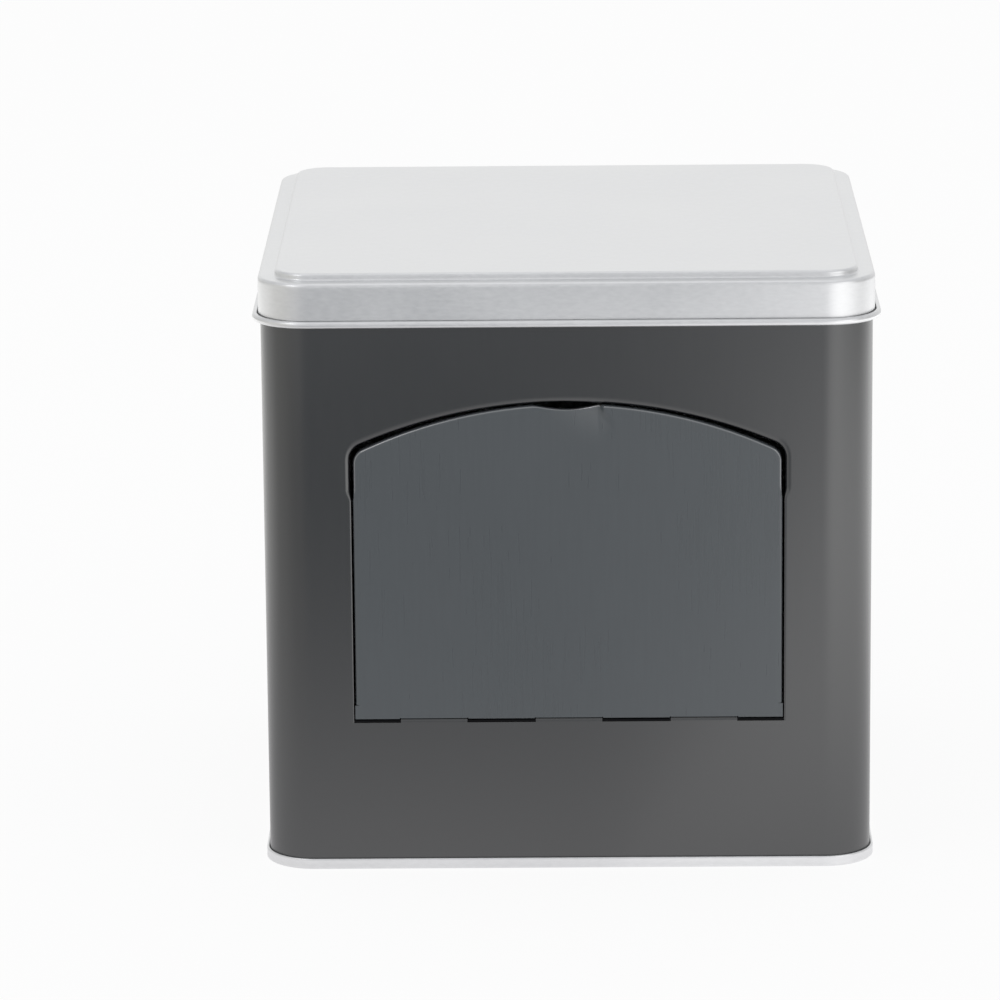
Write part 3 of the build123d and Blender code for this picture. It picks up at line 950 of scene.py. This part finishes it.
class CANISTER_OT_door(bpy.types.Operator):
    """Build the tip-out door: face, turned-in rim, finger dish, cheeks with stop lips and hinge curls"""

    bl_idname = "canister.door"
    bl_label = "Door"

    def execute(self, context):
        tin, hinge = settings("tin_sizes", "hinge_sizes")
        door, opening = settings("door_sizes", "opening_sizes")
        front = -tin.depth / 2
        arch = door_outline()
        lip_end = hinge.height + opening.lip_end_rise
        cheek_top = lip_end - door.cheek_margin
        rim_end = cheek_top + opening.run_out / 2
        support = -door.rim_bend - SUPPORT
        sheet = Sheet()

        # the turned-in rim, cut down over the finger dish
        dish_half = door.dish_width / 2
        columns = between(0.0, dish_half + door.dish_margin, steps=56)
        places = arch.stations(cheek_top, side_steps=30, corner_steps=12)
        first_column = math.acos(columns[-1] / (arch.radius + support))
        crown = between(arch.corner_angle, first_column, steps=30)[1:-1]
        places += [("crown", turn) for turn in crown]
        dish_places = [("crown", math.acos(x / (arch.radius + support))) for x in reversed(columns)]
        left_dish = [("crown", math.pi - turn) for kind, turn in dish_places[-2::-1]]
        turned = [(support, 0.0)]
        turned += arc((-door.rim_bend, door.rim_bend), door.rim_bend, 270, 90, steps=8)
        turned.append((0.0, door.rim_depth))
        flat_top = arch.crown - door.rim_bend
        rim = []
        for outward, depth in turned:
            row = [self.rim_point(arch, place, outward, depth, front, rim_end, flat_top)
                   for place in places + dish_places + left_dish]
            rim.append(row + mirrored(row[:len(places)]))
        sheet.strip(rim)

        # the finger dish, as a fine grid below the rim
        grid_low = flat_top - door.dish_reach - door.dish_margin
        grid = []
        for top in rim[0][len(places):-len(places)][::-1]:
            heights = between(grid_low, top[2], steps=46)
            column = [(top[0], front + self.dish_at(top[0], z, flat_top, door), z) for z in heights[:-1]]
            grid.append(column + [top])
        sheet.strip(grid)

        # the flat face round them
        fold_low = hinge.height + door.fold_rise
        fold_cut = fold_low - door.fold_relief
        inner = hinge.wire / 2 + hinge.play
        bend_height = hinge.height + inner + hinge.door_bend
        foot = bend_height + SUPPORT / 2
        outer_x = foot_half()
        flat = opening_outline().half - door.fold_gap - door.fold_bend
        end_inner = outer_x - hinge.end_width + hinge.side_play / 2
        door_spans = [(-outer_x, -end_inner)] + curl_spans(1) + [(end_inner, outer_x)]
        wall_spans = curl_spans(0)
        right = [(x, z) for x, y, z in reversed(rim[0][:len(places) + 1])]
        right += [(flat, cheek_top), (flat - SUPPORT, cheek_top)]
        right += [(flat - SUPPORT, fold_low), (flat, fold_low), (flat, fold_cut), (outer_x, fold_cut)]
        # ends of the curls from left to right, each once
        inner_marks = sorted({round(x, 9) for span in door_spans + wall_spans for x in span})
        loop = [(x, front, z) for x, z in right]
        loop += [(x, front, foot) for x in reversed(inner_marks)]
        loop += [(-x, front, z) for x, z in reversed(right)]
        loop += grid[0][::-1][1:]
        loop += [column[0] for column in grid[1:]]
        loop += grid[-1][1:-1]
        sheet.fill(sheet.edges_of(loop))

        # its lower edge between the curls
        for span in wall_spans:
            sheet.strip(span_rows([(front, foot), (front, hinge.height + hinge.door_rise)], span))
        for gap in zip(inner_marks[1:-1:2], inner_marks[2:-1:2]):
            sheet.strip(span_rows([(front, foot), (front, bend_height)], gap))

        # the curls over the wire
        axis = hinge_axis()
        bend = hinge.door_bend
        curl = [(front, foot)] + arc((front + bend, bend_height), bend, 180, 90, steps=6)
        curl += arc(axis, inner, 90, -math.degrees(hinge.wrap), steps=28)
        for span in door_spans:
            sheet.strip(span_rows(curl, span))

        # the cheeks
        for side in (1, -1):
            self.cheek(sheet, side, flat, cheek_top, fold_low, axis, door, tin)

        mesh = sheet.finish("door", ((0, front, (fold_low + cheek_top) / 2), (0, -1, 0)))
        outside, inside, highlight_lacquer = sheet_finishes("door")
        piece = thicken(mesh, "door_shell", [outside, inside])
        piece.data.materials.append(highlight_lacquer)

        # painted highlights: the glossier lacquer on the rim's bend, and the bare sheet on the up-facing
        # faces of the dish's edge
        for face in piece.data.polygons:
            x, y, z = face.center
            across = x / dish_half
            over_dish = abs(x) < dish_half + door.dish_margin
            on_bend = z > rim_end and DOOR_BEND[0] < face.normal.y < DOOR_BEND[1]
            least, start, fall = BARE_HIGHLIGHT_TILT
            bare_highlight = face.normal.z > max(least, start - fall * across)
            bare_highlight = bare_highlight and BARE_HIGHLIGHT_PART[0] < across < BARE_HIGHLIGHT_PART[1]
            if bare_highlight and z > min(rim[0], key=lambda point: abs(point[0] - x))[2]:
                face.material_index = INSIDE
            elif on_bend and (face.normal.z > BEND_OVER_DISH or not over_dish):
                face.material_index = HIGHLIGHT_LACQUER

        dress(piece, "door", "door")
        return {"FINISHED"}

    def rim_point(self, arch, place, outward, depth, front, end, flat_top):
        """Point of the turned-in rim, lower and tighter over the dish and pressed in with it."""
        door = bpy.context.scene.door_sizes
        run_out = bpy.context.scene.opening_sizes.run_out
        x, y, z = faded(
            arch, place, outward, front, depth, end, run_out, RIM_END_SHARE, RIM_END_SHARE, 0.0)
        half = door.dish_width / 2
        if place[0] != "crown" or abs(x) > half + door.dish_margin:
            return (x, y, z)
        inside = max(0.0, 1 - (x / half) ** 2)
        tight = min(1.0, NOTCH_TIGHTENING * inside)
        tighter = 1 + (door.notch_bend / door.rim_bend - 1) * tight
        cut = door.dish_drop + door.rim_bend * (1 - tighter)
        x, z = arch.point(place, outward * tighter - cut * inside ** NOTCH_POWER)
        return (x, front + depth * tighter + self.dish_at(x, z, flat_top, door), z)

    def dish_at(self, x, z, flat_top, door):
        """How far the face is pressed in: deepest towards the dish's right end, with a crease there."""
        half = door.dish_width / 2
        crease = half - CREASE_INSET
        low = max(0.0, min(1.0, (flat_top - z) / door.dish_reach))
        if x < crease:
            across = max(0.0, (x + half) / (crease + half)) ** DISH_POWER
        else:
            fall = CREASE_FALL + (door.dish_margin - CREASE_MARGIN) * smooth(2 * low)
            across = 1 - smooth((x - crease) / fall)
        return door.dish_depth * across * (1 - low) ** 2

    def cheek(self, sheet, side, flat, cheek_top, fold_low, axis, door, tin):
        """One cheek: its fold, its fan-shaped plate and the lip that stops the door."""
        front = -tin.depth / 2
        outer = flat + door.fold_bend
        fold = [(flat - SUPPORT, front)]
        fold += arc((flat, front + door.fold_bend), door.fold_bend, 270, 90, steps=8)
        sheet.strip([[(side * x, y, fold_low), (side * x, y, cheek_top)] for x, y in fold])

        def shut(y, z):
            turn = door.opening_angle
            return (axis[0] + y * math.cos(turn) + z * math.sin(turn),
                    axis[1] - y * math.sin(turn) + z * math.cos(turn))

        front_edge = front + door.fold_bend
        reach = math.hypot(cheek_top - axis[1], front_edge - axis[0])
        stop = front + tin.sheet + door.stop_clearance - axis[0]
        rear = stop + tin.sheet
        corner = door.cheek_corner
        corner_height = math.sqrt((reach - corner) ** 2 - (rear - corner) ** 2)
        first = math.atan2(cheek_top - axis[1], front_edge - axis[0])
        tangent = math.atan2(corner_height, rear - corner)
        last = tangent - door.opening_angle
        outline = [(axis[0] + reach * math.cos(turn), axis[1] + reach * math.sin(turn))
                   for turn in between(first, last, steps=24)]
        sweep = math.degrees(tangent)
        rounded = arc((rear - corner, corner_height), corner, sweep, -sweep, steps=10)
        outline += [shut(y, z) for y, z in rounded[1:]]
        lip_top = corner_height
        lip_low = lip_top - door.stop_length
        bend = tin.sheet
        outline += [shut(stop - bend, lip_top), shut(stop - bend, lip_low), shut(rear, lip_low)]
        outline += [shut(rear, door.cheek_heel), (front_edge, fold_low)]
        sheet.fill(sheet.edges_of([(side * outer, y, z) for y, z in outline]))
        lip = [(outer, stop - bend)]
        lip += [(outer + bend + x, stop - bend + y) for x, y in arc((0, 0), bend, 180, -90, steps=5)[1:]]
        lip.append((outer + door.stop_width, stop))
        rows = []
        for x, y in lip:
            rows.append([(side * x, *shut(y, lip_low)), (side * x, *shut(y, lip_top))])
        sheet.strip(rows)


class CANISTER_OT_wire(bpy.types.Operator):
    """Build the straight wire that the door turns on"""

    bl_idname = "canister.wire"
    bl_label = "Hinge wire"

    def execute(self, context):
        hinge = context.scene.hinge_sizes
        axis = hinge_axis()
        half = foot_half() + hinge.overhang
        radius = hinge.wire / 2
        chamfer = 0.2 * MM
        rings = [(-half, 0.0), (-half, radius - chamfer), (-half + chamfer, radius)]
        rings += [(x, radius) for x in between(-half + 2 * chamfer, half - 2 * chamfer, steps=24)]
        rings += [(half - chamfer, radius), (half, radius - chamfer), (half, 0.0)]
        sheet = Sheet()
        rows = []
        for x, reach in rings:
            rows.append([(x, y, z) for y, z in arc(axis, reach, 0, 360, steps=28)])
        sheet.strip(rows)
        bmesh.ops.remove_doubles(sheet.bm, verts=sheet.bm.verts, dist=WELD)
        bmesh.ops.dissolve_degenerate(sheet.bm, edges=sheet.bm.edges, dist=WELD)
        mesh = sheet.finish("wire", ((0, axis[0] - radius, axis[1]), (0, -1, 0)))
        mesh.materials.append(shade_dark_wire())
        piece = bpy.data.objects.new("hinge_wire_rod", mesh)
        context.scene.collection.objects.link(piece)
        dress(piece, "tin", "hinge_wire")
        return {"FINISHED"}


class CANISTER_OT_stage(bpy.types.Operator):
    """Set up the floor, the lamps and the camera"""

    bl_idname = "canister.stage"
    bl_label = "Stage"

    def execute(self, context):
        self.floor(context)
        self.world(context)
        for lamp in LAMPS:
            self.lamp(context, *lamp)
        self.camera(context)
        return {"FINISHED"}

    def floor(self, context):
        """Wide pale floor that the camera sees as white, apart from the tin's soft shadow; reflections
        see a painted glow on it instead of its own shading.
        """
        bm = bmesh.new()
        bmesh.ops.create_grid(bm, x_segments=2, y_segments=2, size=6.0)
        mesh = mesh_from(bm, "floor")
        floor = bpy.data.objects.new("floor", mesh)
        context.scene.collection.objects.link(floor)
        material = bpy.data.materials.new("pale floor")
        material.use_nodes = True
        nodes = material.node_tree.nodes
        tree = Tree(material.node_tree)
        matt = nodes["Principled BSDF"]
        matt.inputs["Base Color"].default_value = (*context.scene.stage_settings.floor_colour, 1.0)
        matt.inputs["Roughness"].default_value = 0.9
        matt.inputs["Specular IOR Level"].default_value = 0.0
        ray = tree.add("ShaderNodeLightPath").outputs
        place = tree.add("ShaderNodeTexCoord").outputs["Object"]
        away = tree.add("ShaderNodeVectorMath", {0: place}, operation="LENGTH").outputs["Value"]
        spread = tree.math("MULTIPLY", away, 1 / NEAR_REACH)
        fading = tree.math("MULTIPLY", tree.math("MULTIPLY", spread, spread), -1.0)
        near = tree.math("EXPONENT", fading)
        far = tree.remap(away, 0.0, 1.0, *FAR_BAND)
        # What reflections see of the floor is a painted glow by compass angle, not the floor's own
        # shading
        middle = self.round_about(tree, place, FLOOR_GLOW)
        lit = tree.blend(far, middle, self.round_about(tree, place, ROOM))
        painted_glow = tree.add("ShaderNodeEmission", {"Color": tree.blend(near, lit, NEAR_GLOW)})
        reflected = tree.add("ShaderNodeMixShader", {
            "Fac": ray["Is Glossy Ray"], 1: matt.outputs["BSDF"], 2: painted_glow.outputs["Emission"]})
        glow = tree.add("ShaderNodeEmission", {"Strength": WHITE_GLOW})
        seen = tree.math("MULTIPLY", self.seen(tree, ray), WHITE_SHARE)
        mix = tree.add("ShaderNodeMixShader", {
            "Fac": seen, 1: reflected.outputs["Shader"], 2: glow.outputs["Emission"]})
        tree.feed(nodes["Material Output"].inputs["Surface"], mix.outputs["Shader"])
        mesh.materials.append(material)

    def seen(self, tree, ray):
        """One for what the camera sees, straight or through something clear."""
        return tree.math("MAXIMUM", ray["Is Camera Ray"], ray["Is Transmission Ray"])

    def round_about(self, tree, direction, screens):
        """Colour by compass angle from the camera's side, given as (degrees, colour) screens."""
        parts = tree.add("ShaderNodeSeparateXYZ", {"Vector": direction}).outputs
        forward = tree.math("MULTIPLY", parts["Y"], -1.0)
        turn = tree.math("ARCTAN2", parts["X"], forward)
        around = tree.math("MULTIPLY_ADD", turn, 1 / math.tau, 0.5)
        ramp = tree.add("ShaderNodeValToRGB", {"Fac": around})
        ramp.color_ramp.interpolation = "EASE"
        stops = ramp.color_ramp.elements
        stops[1].position = 1.0
        stops[1].color = (*[channel / BRIGHTEST for channel in screens[0][1]], 1.0)
        stops[0].color = stops[1].color
        for degrees, shade in screens[1:]:
            stop = stops.new((degrees + 180) / 360)
            stop.color = (*[channel / BRIGHTEST for channel in shade], 1.0)
        brighter = tree.add("ShaderNodeVectorMath", {0: ramp.outputs["Color"], "Scale": BRIGHTEST},
                            operation="SCALE")
        return brighter.outputs["Vector"]

    def world(self, context):
        """White surroundings for the camera, and a plain soft room for the rest."""
        world = bpy.data.worlds.new("studio")
        context.scene.world = world
        world.use_nodes = True
        nodes = world.node_tree.nodes
        tree = Tree(world.node_tree)
        room = nodes["Background"]
        place = tree.add("ShaderNodeTexCoord").outputs["Generated"]
        parts = tree.add("ShaderNodeSeparateXYZ", {"Vector": place}).outputs
        around = self.round_about(tree, place, ROOM)
        high = tree.remap(parts["Z"], 0.0, 1.0, *OVERHEAD_HEIGHTS)
        tree.feed(room.inputs["Color"], tree.blend(high, around, OVERHEAD))
        white = tree.add("ShaderNodeBackground", {"Color": (1.0, 1.0, 1.0, 1.0)})
        ray = tree.add("ShaderNodeLightPath").outputs
        mix = tree.add("ShaderNodeMixShader", {
            "Fac": self.seen(tree, ray), 1: room.outputs["Background"], 2: white.outputs["Background"]})
        tree.feed(nodes["World Output"].inputs["Surface"], mix.outputs["Shader"])

    def lamp(self, context, name, place, size, power):
        """Soft rectangular lamp that faces the tin's middle."""
        data = bpy.data.lights.new(name, "AREA")
        data.shape = "RECTANGLE"
        data.size, data.size_y = size
        data.energy = power
        lamp = bpy.data.objects.new(name, data)
        lamp.location = place
        aim = Vector((0, 0, context.scene.tin_sizes.height / 2)) - Vector(place)
        lamp.rotation_euler = aim.to_track_quat("-Z", "Y").to_euler()
        context.scene.collection.objects.link(lamp)

    def camera(self, context):
        """Camera at the photograph's viewing angle."""
        stage = context.scene.stage_settings
        data = bpy.data.cameras.new("camera")
        data.lens = stage.camera_lens
        data.sensor_width = 36.0
        data.clip_start = 0.05
        data.clip_end = 50.0
        camera = bpy.data.objects.new("camera", data)
        turn = Matrix.Rotation(stage.camera_turn, 4, "Z")
        pitch = Matrix.Rotation(math.radians(90) - stage.camera_pitch, 4, "X")
        roll = Matrix.Rotation(-stage.camera_roll, 4, "Z")
        camera.matrix_world = Matrix.Translation(stage.camera_place) @ turn @ pitch @ roll
        context.scene.collection.objects.link(camera)
        context.scene.camera = camera
        context.scene.view_settings.view_transform = "Standard"


class CANISTER_PT_pieces(bpy.types.Panel):
    """Buttons that build the canister's pieces"""

    bl_idname = "CANISTER_PT_pieces"
    bl_label = "Storage canister"
    bl_space_type = "VIEW_3D"
    bl_region_type = "UI"
    bl_category = "Canister"

    def draw(self, context):
        for operator in OPERATORS:
            self.layout.operator(operator.bl_idname)
        for name in GROUPS:
            box = self.layout.box()
            group = getattr(context.scene, name)
            for key in group.bl_rna.properties.keys():
                if key not in ("rna_type", "name"):
                    box.prop(group, key)


GROUPS = {
    "tin_sizes": TinSizes,
    "lid_sizes": LidSizes,
    "seam_sizes": SeamSizes,
    "wall_sizes": WallSizes,
    "opening_sizes": OpeningSizes,
    "hinge_sizes": HingeSizes,
    "door_sizes": DoorSizes,
    "finishes": Finishes,
    "stage_settings": StageSettings,
}

OPERATORS = (
    CANISTER_OT_lid,
    CANISTER_OT_base,
    CANISTER_OT_wall,
    CANISTER_OT_door,
    CANISTER_OT_wire,
    CANISTER_OT_stage,
)


def register():
    for name, group in GROUPS.items():
        bpy.utils.register_class(group)
        setattr(bpy.types.Scene, name, bpy.props.PointerProperty(type=group))
    for operator in OPERATORS:
        bpy.utils.register_class(operator)
    bpy.utils.register_class(CANISTER_PT_pieces)


def unregister():
    bpy.utils.unregister_class(CANISTER_PT_pieces)
    for operator in reversed(OPERATORS):
        bpy.utils.unregister_class(operator)
    for name, group in GROUPS.items():
        delattr(bpy.types.Scene, name)
        bpy.utils.unregister_class(group)


def main():
    """Build every piece and the stage."""
    register()
    bpy.ops.canister.lid()
    bpy.ops.canister.base()
    bpy.ops.canister.wall()
    bpy.ops.canister.door()
    bpy.ops.canister.wire()
    bpy.ops.canister.stage()


if __name__ == "__main__":
    main()
